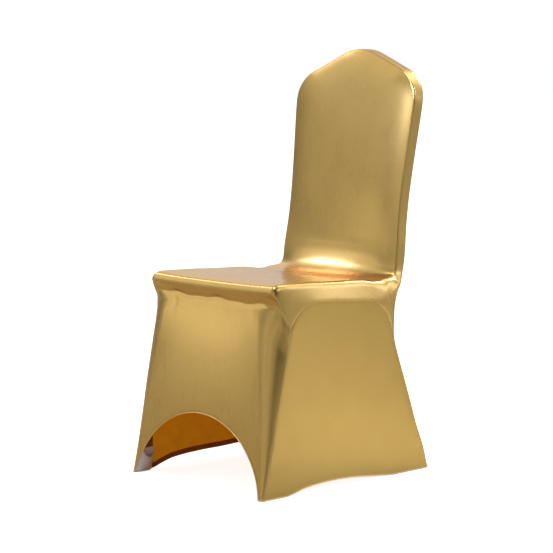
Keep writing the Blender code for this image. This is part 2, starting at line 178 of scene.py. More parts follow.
def gold_cloth(name, light, deep, roughness):
    """Foil-coated knit: streaks and mottling in its colour, gloss and relief."""
    paint, shader, material = new_finish(name)
    streaks = cloth_noise(paint, 70.0, 4.0, 1.0)
    mottle = cloth_noise(paint, 14.0, 10.0, 2.0)
    knit = cloth_noise(paint, 1100.0, 700.0, 1.0)
    tone = mixed(paint, 0.06 * streaks + 0.94 * mottle, (*deep, 1), (*light, 1))
    gloss = roughness + 0.12 * (mottle - 0.5) + 0.015 * (streaks - 0.5) + 0.02 * (knit - 0.5)
    bump = paint.node("ShaderNodeBump", {}, {"Height": 0.00022 * mottle, "Strength": 1.0, "Distance": 1.0})
    plug(shader, {"Base Color": tone, "Roughness": gloss, "Normal": bump, "Metallic": 0.92})
    plug(shader, {"Specular Tint": (1.0, 0.86, 0.80, 1), "Coat Weight": 0.15, "Coat Roughness": 0.22})
    return material


gold_main = gold_cloth("gold_cloth_main", GOLD, GOLD_DEEP, 0.28)
gold_side_shaded = gold_cloth("gold_cloth_side", GOLD_SIDE_SHADED, GOLD_SIDE_SHADED_DEEP, 0.36)
print("gold finishes:", gold_main.name, gold_side_shaded.name)

# %% [markdown]
# The wrong side of the cloth has no foil. It is a matte ochre knit, so it gets a plain rough finish of a
# strong orange brown, with a painted glow over all of it that stands in for light coming through from behind.
# The foot pockets are a grey woven cloth, sturdier than the knit, with a weave coarse enough to see close up.
# In the front corners the side panels' wrong side gets painted shade: it is made dark brown there.

# %% The wrong side, the pocket cloth and the thread
OCHRE = (0.700, 0.320, 0.008)
OCHRE_DEEP = (0.480, 0.170, 0.003)
OCHRE_PAINTED_GLOW = 0.22
# Painted shade: the dark brown of the shadow inside the front corners, and the line and blur where it ends.
OCHRE_CORNER_PAINTED_SHADE = (0.130, 0.045, 0.006)
CORNER_SHADE_Y = -0.205
CORNER_SHADE_BLUR = 0.002
OCHRE_TURNED = (0.340, 0.130, 0.010)
OCHRE_TURNED_DEEP = (0.220, 0.075, 0.005)
# Painted highlight: the rolled edge is a paler gold, for the bright line it catches along the hem.
HEM_GOLD_PAINTED_HIGHLIGHT = (0.860, 0.660, 0.300)
POCKET_GREY = (0.900, 0.900, 0.920)
POCKET_GREY_DEEP = (0.700, 0.690, 0.700)
THREAD_GOLD = (0.420, 0.290, 0.085)


def painted_corner_shade(paint, tone):
    """Painted shade: a colour made dark in front of the line at CORNER_SHADE_Y, for the shadow inside the
    front corners.
    """
    place = paint.node("ShaderNodeTexCoord", {}, {}, 3)
    y = paint.node("ShaderNodeSeparateXYZ", {}, {0: place}, 1)
    unshaded_cloth = paint.node(
        "ShaderNodeMapRange",
        {"interpolation_type": "SMOOTHSTEP"},
        {"Value": y, "From Min": CORNER_SHADE_Y - CORNER_SHADE_BLUR, "From Max": CORNER_SHADE_Y + CORNER_SHADE_BLUR},
    )
    return mixed(paint, unshaded_cloth, (*OCHRE_CORNER_PAINTED_SHADE, 1), tone)


def matte_cloth(name, light, deep, roughness, threads, depth, glow=0.0, corner=False):
    """A matte cloth with its own weave: threads is how many run through each metre."""
    paint, shader, material = new_finish(name)
    mottle = cloth_noise(paint, 30.0, 30.0, 3.0)
    uv = cloth_uv(paint, threads, threads)
    weave = paint.node("ShaderNodeTexChecker", {}, {"Vector": uv, "Scale": 1.0}, 1)
    tone = mixed(paint, 0.7 * mottle + 0.2 * weave, (*deep, 1), (*light, 1))
    # Painted shade: the front corners of the side panels' wrong side are made dark.
    if corner:
        tone = painted_corner_shade(paint, tone)
    bump = paint.node("ShaderNodeBump", {}, {"Height": depth * weave, "Strength": 0.6, "Distance": 1.0})
    plug(shader, {"Base Color": tone, "Roughness": roughness, "Normal": bump, "Specular IOR Level": 0.15})
    # Painted glow: the cloth glows evenly, standing in for light that comes through it from behind.
    if glow:
        plug(shader, {"Emission Color": tone, "Emission Strength": glow})
    return material


# Both wrong sides carry the painted glow; the side panels' wrong side also carries the painted corner shade.
ochre_inside = matte_cloth("ochre_inside", OCHRE, OCHRE_DEEP, 0.75, 900.0, 0.0001, OCHRE_PAINTED_GLOW)
ochre_side = matte_cloth("ochre_side", OCHRE, OCHRE_DEEP, 0.75, 900.0, 0.0001, OCHRE_PAINTED_GLOW, corner=True)
pocket_cloth = matte_cloth("pocket_cloth", POCKET_GREY, POCKET_GREY_DEEP, 0.85, 700.0, 0.0002)


def thread_finish(name, colour):
    """A twisted thread: a soft gloss with fine slanting bands."""
    paint, shader, material = new_finish(name)
    place = paint.node("ShaderNodeTexCoord", {}, {}, 3)
    slanting = {"bands_direction": "DIAGONAL"}
    bands = paint.node("ShaderNodeTexWave", slanting, {"Vector": place, "Scale": 900.0}, 1)
    tone = mixed(paint, bands, (*[0.7 * part for part in colour], 1), (*colour, 1))
    plug(shader, {"Base Color": tone, "Roughness": 0.5})
    return material


hem_thread = thread_finish("hem_thread", THREAD_GOLD)
# The rolled edge's paler gold is a painted highlight.
hem_gold_painted_highlight = gold_cloth("gold_rolled_edge", HEM_GOLD_PAINTED_HIGHLIGHT, GOLD, 0.42)
ochre_turned = matte_cloth("ochre_turned_up", OCHRE_TURNED, OCHRE_TURNED_DEEP, 0.8, 900.0, 0.0001)
print("matte finishes:", ochre_inside.name, pocket_cloth.name, hem_thread.name)

# %% [markdown]
# The shape of the cover is a rule, not a sculpture: a few smooth tables say where the lip, the seam and
# the middle of each section lie. The same tables made the solids. `lookup` reads a table smoothly between
# its rows, so the sheets can be as fine as the light needs them.

# %% Sizes and tables of the cover, in metres
DEPTH_TO_ORIGIN = 0.2600
CLOTH_THICKNESS = 0.0010
SEAM_GAP = 0.0002
HEM_FLOOR = 0.0016
# a point inside the cover, to tell its outer side from its inner one
COVER_MIDDLE = Vector((0.0, 0.0, 0.1))

CROWN_HEIGHT = 0.930
CROWN_RADIUS = 0.125
CROWN_ANGLE = math.radians(23.0)
CROWN_TILT = 0.035
SHOULDER_RADIUS = 0.075
BACK_HALF_WIDTH = 0.1854
BACK_EDGE_Y = 0.4297
BACK_EDGE_FOOT = 0.452
BACK_LEAN = 0.140
BACK_PADDING = 0.007
BACK_PADDING_EXTRA = 0.005
BACK_FACE_POWER = 5.0
PADDING_START = 0.500
PADDING_RISE = 0.120
BACK_FOOT = 0.515
BACK_ROLL = 0.004
BACK_THICKNESS = 0.030
REAR_ROLL = 0.011

FOOT_HALF_WIDTH = 0.211
SIDE_TAPER = 0.015
FRONT_SEAM_Y = 0.0036
FRONT_SEAM_SLOPE = 0.234
FRONT_FACE_Y = -0.003
FRONT_FACE_SLOPE = 0.100
FRONT_FLARE = 0.0146
FRONT_ARCH_HEIGHT = 0.157
CREASE_HEIGHT = 0.4035
REAR_HEM_RISE = 0.025

# height, half width of the back
BACK_SIDE = (
    (0.452, 0.1794), (0.5, 0.1772), (0.54, 0.1743), (0.58, 0.1733),
    (0.62, 0.174), (0.7, 0.1783), (0.78, 0.184), (0.808, 0.1854),
)
SHOULDER_HEIGHT = 0.808

# row, centre_y, centre_z, lip_x, lip_y, lip_z, roll, seam_x, seam_y, seam_z, knee
SEAT_ROWS = (
    (0, 0.4245, 0.5, 0.1772, 0.4324, 0.5, 0.004, 0.1772, 0.4364, 0.5, 1.0),
    (1, 0.4165, 0.476, 0.1784, 0.428, 0.4695, 0.004, 0.1784, 0.4322, 0.47, 1.0),
    (2, 0.403, 0.454, 0.1795, 0.4266, 0.4503, 0.005, 0.1794, 0.4297, 0.452, 1.0),
    (3, 0.387, 0.44, 0.1815, 0.4212, 0.4382, 0.007, 0.182, 0.4275, 0.44, 1.0),
    (4, 0.376, 0.4345, 0.1865, 0.4118, 0.435, 0.009, 0.192, 0.4205, 0.42, 1.0),
    (5, 0.3675, 0.4318, 0.1905, 0.4005, 0.4333, 0.01, 0.2, 0.407, 0.4, 0.9),
    (6, 0.361, 0.4308, 0.192, 0.391, 0.433, 0.011, 0.2045, 0.396, 0.375, 0.7),
    (7, 0.3555, 0.4305, 0.1925, 0.385, 0.432, 0.011, 0.2059, 0.392, 0.34, 0.45),
    (8, 0.35, 0.43, 0.1925, 0.3785, 0.4308, 0.011, 0.2065, 0.393, 0.3, 0.32),
    (9, 0.343, 0.43, 0.1925, 0.371, 0.43, 0.011, 0.2061, 0.3862, 0.327, 0.38),
    (10, 0.333, 0.4303, 0.1925, 0.36, 0.4303, 0.011, 0.2058, 0.3795, 0.347, 0.5),
    (11, 0.32, 0.4312, 0.1925, 0.345, 0.4318, 0.012, 0.2055, 0.364, 0.3675, 0.7),
    (12, 0.305, 0.4324, 0.1925, 0.325, 0.435, 0.012, 0.2053, 0.342, 0.383, 0.9),
    (13, 0.286, 0.4341, 0.1925, 0.3, 0.4374, 0.012, 0.2051, 0.318, 0.3915, 1.0),
    (14, 0.245, 0.4367, 0.1925, 0.253, 0.439, 0.012, 0.2051, 0.266, 0.3952, 1.0),
    (15, 0.2, 0.439, 0.193, 0.205, 0.4406, 0.011, 0.205, 0.212, 0.3998, 1.0),
    (16, 0.155, 0.4415, 0.1935, 0.158, 0.443, 0.01, 0.205, 0.168, 0.4015, 1.0),
    (17, 0.11, 0.4423, 0.1945, 0.115, 0.444, 0.01, 0.205, 0.142, 0.398, 1.0),
    (18, 0.078, 0.4425, 0.1955, 0.08, 0.445, 0.009, 0.2051, 0.121, 0.39, 1.0),
    (19, 0.057, 0.4405, 0.196, 0.055, 0.444, 0.009, 0.2053, 0.105, 0.3765, 1.0),
    (20, 0.047, 0.4345, 0.196, 0.044, 0.436, 0.009, 0.2055, 0.094, 0.363, 1.0),
    (21, 0.046, 0.423, 0.196, 0.0435, 0.425, 0.011, 0.2057, 0.087, 0.351, 1.0),
    (22, 0.052, 0.4035, 0.196, 0.0525, 0.411, 0.03, 0.2059, 0.0828, 0.338, 1.0),
    (23, 0.0463, 0.385, 0.1985, 0.0485, 0.386, 0.056, 0.2062, 0.078, 0.318, 1.0),
)
TONGUE_ROW = 8

# height, corner_y, roll of the front skirt
SKIRT_CORNER = (
    (0.0, -0.006, 0.0115), (0.05, 0.0025, 0.018), (0.1, 0.0092, 0.0235),
    (0.15, 0.0155, 0.028), (0.2, 0.0212, 0.033), (0.25, 0.0277, 0.04),
    (0.3, 0.034, 0.047), (0.34, 0.0388, 0.053), (0.38, 0.0445, 0.056),
)
SKIRT_TOP_CENTRE = 0.365
SKIRT_TOP_CORNER = 0.362
SKIRT_TOP_SEAM = 0.2985

# height, seam_x, seam_y, band, roll, bow of the rear edge
REAR_EDGE = (
    (0.0, 0.211, 0.4995, 0.006, 0.006, 0.0), (0.05, 0.2103, 0.485, 0.006, 0.006, 0.001),
    (0.1, 0.2095, 0.464, 0.006, 0.006, 0.002), (0.15, 0.2088, 0.446, 0.006, 0.006, 0.005),
    (0.2, 0.208, 0.4283, 0.006, 0.006, 0.009), (0.25, 0.2073, 0.4093, 0.006, 0.006, 0.014),
    (0.3, 0.2065, 0.393, 0.006, 0.006, 0.019), (0.34, 0.2059, 0.392, 0.006, 0.006, 0.021),
    (0.375, 0.2045, 0.396, 0.006, 0.006, 0.022), (0.4, 0.2, 0.407, 0.008, 0.008, 0.02),
    (0.42, 0.192, 0.4205, 0.015, 0.01, 0.015), (0.44, 0.182, 0.4275, 0.024, 0.011, 0.008),
    (0.452, 0.1794, 0.4297, 0.028, 0.011, 0.004), (0.47, 0.1784, 0.4322, 0.03, 0.011, 0.002),
    (0.5, 0.1772, 0.4364, 0.03, 0.011, 0.002),
)

# depth, height of the side panels' hems
LEFT_HEM = (
    (0.0, 0.0), (0.05, 0.0), (0.08, 0.009), (0.115, 0.0172), (0.185, 0.022),
    (0.26, 0.0226), (0.33, 0.0236), (0.4, 0.015), (0.45, 0.002), (0.47, 0.0), (0.5, 0.0),
)
RIGHT_HEM = (
    (0.0, 0.0), (0.055, 0.0), (0.082, 0.004), (0.117, 0.0114), (0.187, 0.0166),
    (0.26, 0.015), (0.33, 0.0078), (0.4, 0.0012), (0.44, 0.0), (0.5, 0.0),
)


def lookup(table, key):
    """Smooth values at key from a table whose first column rises, by cubic Hermite pieces."""
    last = len(table) - 1
    low = max(i for i in range(last) if i == 0 or table[i][0] <= key)
    high = low + 1
    before, after = max(low - 1, 0), min(high + 1, last)
    span = table[high][0] - table[low][0]
    step = (key - table[low][0]) / span
    values = []
    for column in range(1, len(table[0])):
        start, end = table[low][column], table[high][column]
        leave = (end - table[before][column]) / (table[high][0] - table[before][0]) * span
        arrive = (table[after][column] - start) / (table[after][0] - table[low][0]) * span
        cubic = 2 * (start - end) + leave + arrive
        square = 3 * (end - start) - 2 * leave - arrive
        values.append(((cubic * step + square) * step + leave) * step + start)
    return values


print("seat rows:", len(SEAT_ROWS), "rear edge rows:", len(REAR_EDGE))

# %% [markdown]
# Every sheet is lofted through sections. A half section runs from the middle over a gently crowned face
# to a corner, rounds it, and ends at the seam. Its points crowd towards the seam, where the cloth is
# drawn down by the stitches and the curve is tightest.

# %% One half section
FACE_STEPS = 26
EDGE_STEPS = 14
ROUNDING_STEPS = 16
FACE_POWER = 2.6
KNEE_ROLL = 0.012
SEAM_CROWDING = 1.5
SEAM_TURN = 0.09


def side_x(height):
    """Half width of the skirt's flat sides."""
    return FOOT_HALF_WIDTH - SIDE_TAPER * height


def face_share(step):
    """Share of the half face that a column reaches, closer together towards the edge."""
    return math.sin(math.pi / 2 * step / FACE_STEPS)


def rounded_path(stops, rolls):
    """A path through its stops with each inner stop rounded off."""
    path = [stops[0]]
    for before, stop, after, roll in zip(stops, stops[1:], stops[2:], rolls):
        start = stop.lerp(before, min(roll / (before - stop).length, 1.0))
        end = stop.lerp(after, min(roll / (after - stop).length, 1.0))
        for i in range(ROUNDING_STEPS + 1):
            t = i / ROUNDING_STEPS
            path.append(start * (1 - t) ** 2 + stop * (2 * t * (1 - t)) + end * t ** 2)
    path.append(stops[-1])
    return path


def walked_along(path):
    """How far each point of a path lies from its start, measured along the path."""
    walked = [0.0]
    for a, b in zip(path, path[1:]):
        walked.append(walked[-1] + (b - a).length)
    return walked


def crowded_towards_end(path, steps):
    """Points along a path, without its first, that crowd towards its end."""
    walked = walked_along(path)
    points = []
    i = 0
    for step in range(1, steps):
        goal = walked[-1] * (1 - (1 - step / steps) ** SEAM_CROWDING)
        while walked[i + 1] < goal:
            i += 1
        points.append(path[i].lerp(path[i + 1], (goal - walked[i]) / (walked[i + 1] - walked[i])))
    return points + [path[-1]]


def half_section(bulge, corner, seam, roll, knee=1.0, power=FACE_POWER, base=None):
    """Across the face from the middle to the corner, then round it to the seam."""
    bulge, corner, seam = Vector(bulge), Vector(corner), Vector(seam)
    base = Vector(base or (0, corner.y, corner.z))
    reach = 1 - roll / (corner - base).length
    points = []
    for step in range(FACE_STEPS + 1):
        share = reach * face_share(step)
        points.append(base.lerp(corner, share) + bulge * (1 - share ** power))
    stops = [points[-1], corner, seam]
    if knee < 1.0:
        bend = corner.lerp(seam, knee)
        bend.x = side_x(bend.z)
        stops.insert(2, bend)
    path = rounded_path(stops, (roll, KNEE_ROLL))
    return points + crowded_towards_end(path, EDGE_STEPS)


print("columns in a half section:", FACE_STEPS + EDGE_STEPS + 1)

# %% [markdown]
# Now the sections themselves: level ones on the back, rays that fan out over the crown, the seat rows
# from their table, and the skirt, whose last row is the arched hem. The crown leans a little to one
# side, as a cover does that is pulled down unevenly.


# %% The sections of the back, the crown, the seat and the skirts
def back_edge_y(height):
    """Depth of the seam along the back's edge."""
    return BACK_EDGE_Y + BACK_LEAN * (height - BACK_EDGE_FOOT)


def crown_z(x):
    """Height of the crown's outline: a round apex, a straight slope and a round shoulder."""
    slope = math.tan(CROWN_ANGLE)
    apex_end = CROWN_RADIUS * math.sin(CROWN_ANGLE)
    apex_end_z = CROWN_HEIGHT - CROWN_RADIUS * (1 - math.cos(CROWN_ANGLE))
    corner_z = apex_end_z - slope * (BACK_HALF_WIDTH - apex_end)
    tangent = SHOULDER_RADIUS * math.tan((math.pi / 2 - CROWN_ANGLE) / 2)
    shoulder_x = BACK_HALF_WIDTH - tangent * math.cos(CROWN_ANGLE)
    if abs(x) < apex_end:
        z = CROWN_HEIGHT - CROWN_RADIUS + math.sqrt(CROWN_RADIUS ** 2 - x ** 2)
    elif abs(x) < shoulder_x:
        z = apex_end_z - slope * (abs(x) - apex_end)
    else:
        reach = abs(x) - (BACK_HALF_WIDTH - SHOULDER_RADIUS)
        z = corner_z - tangent + math.sqrt(max(SHOULDER_RADIUS ** 2 - reach ** 2, 0.0))
    return z + CROWN_TILT * x * (z - SHOULDER_HEIGHT) / (CROWN_HEIGHT - SHOULDER_HEIGHT)


def front_face_y(height):
    """Depth of the front skirt at the middle: it flares out from under the seat's edge."""
    rise = max(height - FRONT_ARCH_HEIGHT, 0.0) / (CREASE_HEIGHT - FRONT_ARCH_HEIGHT)
    return FRONT_FACE_Y + FRONT_FACE_SLOPE * height + FRONT_FLARE * rise ** 4


def padding(height):
    """How far the padded face stands out, and the power of its profile: both grow above the seat."""
    share = min(max((height - PADDING_START) / PADDING_RISE, 0.0), 1.0)
    eased = share * share * (3 - 2 * share)
    return BACK_PADDING + BACK_PADDING_EXTRA * eased, FACE_POWER + (BACK_FACE_POWER - FACE_POWER) * eased


def front_back_section(height):
    """A level section of the back's front face."""
    width, edge = lookup(BACK_SIDE, height)[0], back_edge_y(height)
    corner, seam = (width, edge - BACK_ROLL, height), (width, edge, height)
    out, power = padding(height)
    return half_section((0, -out, 0), corner, seam, BACK_ROLL, power=power)


def rear_section(height):
    """A level section of the rear panel, from the middle round the rear corner to the seam."""
    if height > REAR_EDGE[-1][0]:
        width, edge = lookup(BACK_SIDE, height)[0], back_edge_y(height)
        band, roll, bow = BACK_THICKNESS, REAR_ROLL, REAR_EDGE[-1][5]
    else:
        width, edge, band, roll, bow = lookup(REAR_EDGE, height)
    return half_section((0, bow, 0), (width, edge + band, height), (width, edge, height), roll)


def crown_section(angle, depth, bulge, roll, power=FACE_POWER):
    """A section along a ray from the middle of the shoulder line to the crown's outline."""
    x = BACK_HALF_WIDTH * math.cos(angle)
    z = crown_z(x) if 0 < angle < math.pi else SHOULDER_HEIGHT
    base = (0, back_edge_y(SHOULDER_HEIGHT) + depth, SHOULDER_HEIGHT)
    corner, seam = (x, back_edge_y(z) + depth, z), (x, back_edge_y(z), z)
    return half_section((0, bulge, 0), corner, seam, roll, power=power, base=base)


def seat_section(row):
    """A section of the main panel at a row of the seat table, or between two rows."""
    centre_y, centre_z, lip_x, lip_y, lip_z, roll, seam_x, seam_y, seam_z, knee = lookup(SEAT_ROWS, row)
    bulge = (0, centre_y - lip_y, centre_z - lip_z)
    return half_section(bulge, (lip_x, lip_y, lip_z), (seam_x, seam_y, seam_z), roll, min(knee, 1.0))


def skirt_level(height):
    """A level section of the front skirt with its rounded corner."""
    corner_y, roll = lookup(SKIRT_CORNER, height)
    seam_y = FRONT_SEAM_Y + FRONT_SEAM_SLOPE * height
    bulge, corner = (0, front_face_y(height) - corner_y, 0), (side_x(height), corner_y, height)
    points = half_section(bulge, corner, (side_x(height), seam_y, height), roll)
    for step in range(1, EDGE_STEPS):
        share = 1 - (1 - step / EDGE_STEPS) ** SEAM_CROWDING
        points[FACE_STEPS + step].x -= SEAM_TURN * (seam_y - corner_y) * 27 / 4 * share ** 2 * (1 - share)
    return points


def skirt_section(share):
    """A row of the front skirt: share 0 is its top, share 1 its arched hem."""
    points = []
    for column in range(FACE_STEPS + EDGE_STEPS + 1):
        if column <= FACE_STEPS:
            across = face_share(column)
            top = SKIRT_TOP_CENTRE + (SKIRT_TOP_CORNER - SKIRT_TOP_CENTRE) * across ** FACE_POWER
            hem = FRONT_ARCH_HEIGHT * math.sqrt(max(1 - across ** 2, 0.0))
        else:
            across = 1 - (1 - (column - FACE_STEPS) / EDGE_STEPS) ** SEAM_CROWDING
            top = SKIRT_TOP_CORNER + (SKIRT_TOP_SEAM - SKIRT_TOP_CORNER) * across
            hem = 0.0
        points.append(skirt_level(top * (1 - share) + hem * share)[column])
    return points


def rear_skirt_section(share):
    """A row of the rear skirt: share 0 is level with the side panel's shoulder, share 1 its hem."""
    top = SEAT_ROWS[TONGUE_ROW][9]
    points = []
    for column in range(FACE_STEPS + EDGE_STEPS + 1):
        across = face_share(min(column, FACE_STEPS))
        hem = REAR_HEM_RISE * (1 - across ** 2)
        points.append(rear_section(top * (1 - share) + hem * share)[column])
    return points


print("apex height:", crown_z(0.0), "shoulder:", round(crown_z(0.15), 3))

# %% [markdown]
# A sheet is a grid of rows plus, on the back, a fan of rays that closes the crown. The grid is joined
# into one open mesh of quads, and the cloth coordinates are written as its UV map: distance along the
# sheet from the shoulder line, and distance from its middle line, both in metres.

# %% Turn sections into one open sheet with cloth coordinates
CROWN_RAYS = 72
SEAT_FINENESS = 8
SKIRT_ROWS = 40
BACK_ROWS = 26
HEM_ROWS = 13


def shifted(points):
    """Points moved so that the origin lies under the middle of the cover."""
    return [Vector((p.x, p.y - DEPTH_TO_ORIGIN, p.z)) for p in points]


def whole_row(half):
    """A whole row from left to right, from its right half."""
    half = shifted(half)
    return [Vector((-p.x, p.y, p.z)) for p in reversed(half[1:])] + half


def write_cloth_places(bm, place_of):
    """Write each vertex's place on the cloth as its UV map."""
    cloth = bm.loops.layers.uv.get("cloth") or bm.loops.layers.uv.new("cloth")
    for face in bm.faces:
        for loop in face.loops:
            loop[cloth].uv = place_of(loop.vert)


def open_sheet(halves, crown, faces_rear):
    """A bmesh of the sheet, its rows of vertices, and the vertices of its seams."""
    bm = bmesh.new()
    rows = [[bm.verts.new(p) for p in whole_row(half)] for half in halves]
    middle = FACE_STEPS + EDGE_STEPS
    place = {}
    for row, down in zip(rows, walked_along([row[middle].co for row in rows])):
        across = walked_along([vert.co for vert in row])
        for vert, reached in zip(row, across):
            place[vert] = (reached - across[middle], -down)
    rays = [rows[0][middle:]]
    for half in crown[1:-1]:
        rays.append([rows[0][middle]] + [bm.verts.new(p) for p in shifted(half[1:])])
        for vert in rays[-1][1:]:
            place[vert] = (vert.co.x, vert.co.z - SHOULDER_HEIGHT)
    rays.append(list(reversed(rows[0][:middle + 1])))
    faces = []
    for upper, lower in zip(rows, rows[1:]):
        for c in range(len(upper) - 1):
            faces.append((upper[c], lower[c], lower[c + 1], upper[c + 1]))
    for near, far in zip(rays, rays[1:]):
        faces.append((near[0], near[1], far[1]))
        for c in range(1, len(near) - 1):
            faces.append((near[c], near[c + 1], far[c + 1], far[c]))
    for corners in faces:
        bm.faces.new(tuple(reversed(corners)) if faces_rear else corners)
    write_cloth_places(bm, place.get)
    seams = [row[0] for row in rows] + [row[-1] for row in rows] + [ray[-1] for ray in rays]
    return bm, rows, seams


# %% [markdown]
# Cloth on a stretched cover is smooth, but never perfectly so. Each seam pulls a shallow groove, and a
# few creases start where the cloth turns from the seat to the skirt. Each crease is a line in a short
# table: where it starts and ends, how wide it is and how far it stands out or sinks in. Under the seat's
# lip runs a wavy tuck, whose line is a sum of two waves.

# %% Press the seams and the creases into a sheet
SEAM_GROOVE = 0.0004
SEAM_GROOVE_WIDTH = 0.0030
TUCK_HEIGHT = 0.4010
TUCK_SLOPE = 0.014
TUCK_WAVES = ((0.0022, 41, 1.1), (0.0014, 97, 0.4))
TUCK_DEPTH, TUCK_WIDTH = 0.0026, 0.0042
TUCK_END_X, TUCK_FADE = 0.178, 0.004
SWELL_HEIGHT, SWELL_WIDTH, SWELL_ABOVE_TUCK = 0.0006, 0.0060, 0.0105
FRONT_WALL_Y = -0.195


def tuck_depth(place):
    """The wavy tuck under the lip of the seat, and the slight swelling of the cloth above it."""
    if place.y > FRONT_WALL_Y or not 0.36 < place.z < 0.44:
        return 0.0
    line = TUCK_HEIGHT - TUCK_SLOPE * place.x
    line += sum(height * math.sin(rate * place.x + start) for height, rate, start in TUCK_WAVES)
    fade = 1 / (1 + math.exp((abs(place.x) - TUCK_END_X) / TUCK_FADE))
    tuck = math.exp(-((place.z - line) / TUCK_WIDTH) ** 2)
    swell = math.exp(-((place.z - line - SWELL_ABOVE_TUCK) / SWELL_WIDTH) ** 2)
    return fade * (SWELL_HEIGHT * swell - TUCK_DEPTH * tuck)


def pressed_sheet(bm, hem, seams, creases):
    """Sink the sheet along its seams, press its creases, and draw its seam edges back by half the gap."""
    bm.normal_update()
    tree = kdtree.KDTree(len(seams))
    for i, vert in enumerate(seams):
        tree.insert(vert.co, i)
    tree.balance()
    creases = [(Vector(a), Vector(b) - Vector(a), width, height) for a, b, width, height in creases]
    moves = {}
    for vert in bm.verts:
        _, _, away = tree.find(vert.co)
        depth = -SEAM_GROOVE * math.exp(-(away / SEAM_GROOVE_WIDTH) ** 2)
        if creases:
            depth += tuck_depth(vert.co)
        for start, line, width, height in creases:
            share = min(max((vert.co - start).dot(line) / line.length_squared, 0.0), 1.0)
            gap = (vert.co - start - line * share).length
            fade = math.sin(math.pi * min(max(share, 0.02), 0.98)) ** 0.5
            depth += height * fade * math.exp(-(gap / width) ** 2)
        moves[vert] = vert.normal * depth
    for edge in bm.edges:
        if edge.is_boundary and not (edge.verts[0] in hem and edge.verts[1] in hem):
            face = edge.link_faces[0]
            inward = face.normal.cross(edge.verts[1].co - edge.verts[0].co).normalized()
            if inward.dot(face.calc_center_median() - edge.verts[0].co) < 0:
                inward.negate()
            for vert in edge.verts:
                moves[vert] = moves[vert] + inward * (SEAM_GAP / 4)
    for vert, move in moves.items():
        vert.co += move
        vert.co.z = max(vert.co.z, HEM_FLOOR)


def cloth_object(name, bm, materials, thickness=CLOTH_THICKNESS, offset=-1):
    """Make the bmesh an object and give it thickness. A second material goes on the wrong side."""
    mesh = bpy.data.meshes.new(name)
    bm.to_mesh(mesh)
    bm.free()
    for material in materials:
        mesh.materials.append(material)
    mesh.shade_smooth()
    cloth = placed(name, mesh)
    solidify = cloth.modifiers.new("cloth thickness", "SOLIDIFY")
    solidify.thickness = thickness
    solidify.offset = offset
    solidify.material_offset = len(materials) - 1
    print(name, "has", len(mesh.polygons), "faces")
    return cloth


def lofted_panel(name, halves, crown, creases, faces_rear):
    """One large panel, and the places of its last rows from the hem up."""
    bm, rows, seams = open_sheet(halves, crown, faces_rear)
    pressed_sheet(bm, set(rows[-1]), seams, creases)
    hem_rows = [[vert.co.copy() for vert in row] for row in rows[:-HEM_ROWS - 1:-1]]
    return cloth_object(name, bm, (gold_main, ochre_inside)), hem_rows


# %% [markdown]
# The main panel is one length of cloth: the front of the back, the seat, the bands under the seat's edge
# and the front skirt. On the real cover no seam shows between them, so it is one sheet here too. It could
# be draped by a simulation, but a cover under tension has one taut shape, so a loft is truer.

# %% The main panel
# start, end, width, height
MAIN_CREASES = (
    ((0.17, -0.214, 0.405), (0.205, -0.17, 0.35), 0.006, -0.002),
    ((0.12, -0.209, 0.392), (0.185, -0.2, 0.33), 0.008, 0.0012),
    ((-0.06, -0.21, 0.398), (-0.02, -0.214, 0.372), 0.005, -0.0008),
    ((-0.13, -0.21, 0.399), (-0.11, -0.214, 0.38), 0.004, -0.0008),
    ((0.04, -0.21, 0.399), (0.075, -0.213, 0.376), 0.0045, -0.0007),
)

BACK_HEIGHTS = [
    SHOULDER_HEIGHT + (BACK_FOOT - SHOULDER_HEIGHT) * step / BACK_ROWS for step in range(BACK_ROWS + 1)
]

main_halves = [front_back_section(height) for height in BACK_HEIGHTS]
seat_steps = (len(SEAT_ROWS) - 1) * SEAT_FINENESS
main_halves += [seat_section(step / SEAT_FINENESS) for step in range(seat_steps + 1)]
main_halves += [skirt_section(step / SKIRT_ROWS) for step in range(SKIRT_ROWS + 1)]
angles = [math.pi * step / CROWN_RAYS for step in range(CROWN_RAYS + 1)]
crown_out, crown_power = padding(SHOULDER_HEIGHT)
main_crown = [crown_section(angle, -BACK_ROLL, -crown_out, BACK_ROLL, crown_power) for angle in angles]
main_panel, main_hem_rows = lofted_panel("main_cloth", main_halves, main_crown, MAIN_CREASES, False)

# %% [markdown]
# The rear panel is the narrow band round the edge of the back, the rear face and the rear skirt. It is
# lofted in the same way, facing the other way.

# %% The rear panel
rear_halves = [rear_section(height) for height in BACK_HEIGHTS]
rear_top, rear_waist = REAR_EDGE[-1][0], SEAT_ROWS[TONGUE_ROW][9]
rear_drop = rear_waist - rear_top
rear_halves += [rear_section(rear_top + rear_drop * step / SKIRT_ROWS) for step in range(SKIRT_ROWS)]
rear_halves += [rear_skirt_section(step / SKIRT_ROWS) for step in range(SKIRT_ROWS + 1)]
rear_crown = [crown_section(angle, BACK_THICKNESS, REAR_EDGE[-1][5], REAR_ROLL) for angle in angles]
rear_panel, rear_hem_rows = lofted_panel("rear_cloth", rear_halves, rear_crown, (), True)

# %% [markdown]
# Each side panel is a flat gusset with a rounded top and a low arched hem. Its outline follows the seams
# of the two panels beside it. A flat piece needs no loft: rings that shrink towards its middle fill it,
# and they crowd at the rim, where the seam's groove is.

# %% The side panels
RINGS = 16
RING_CROWDING = 2.2
SIDE_HEM_STEPS = 60
SIDE_MIDDLE_Z = 0.19
SIDE_ROWS_UP = (0.0, 0.01, 0.02)


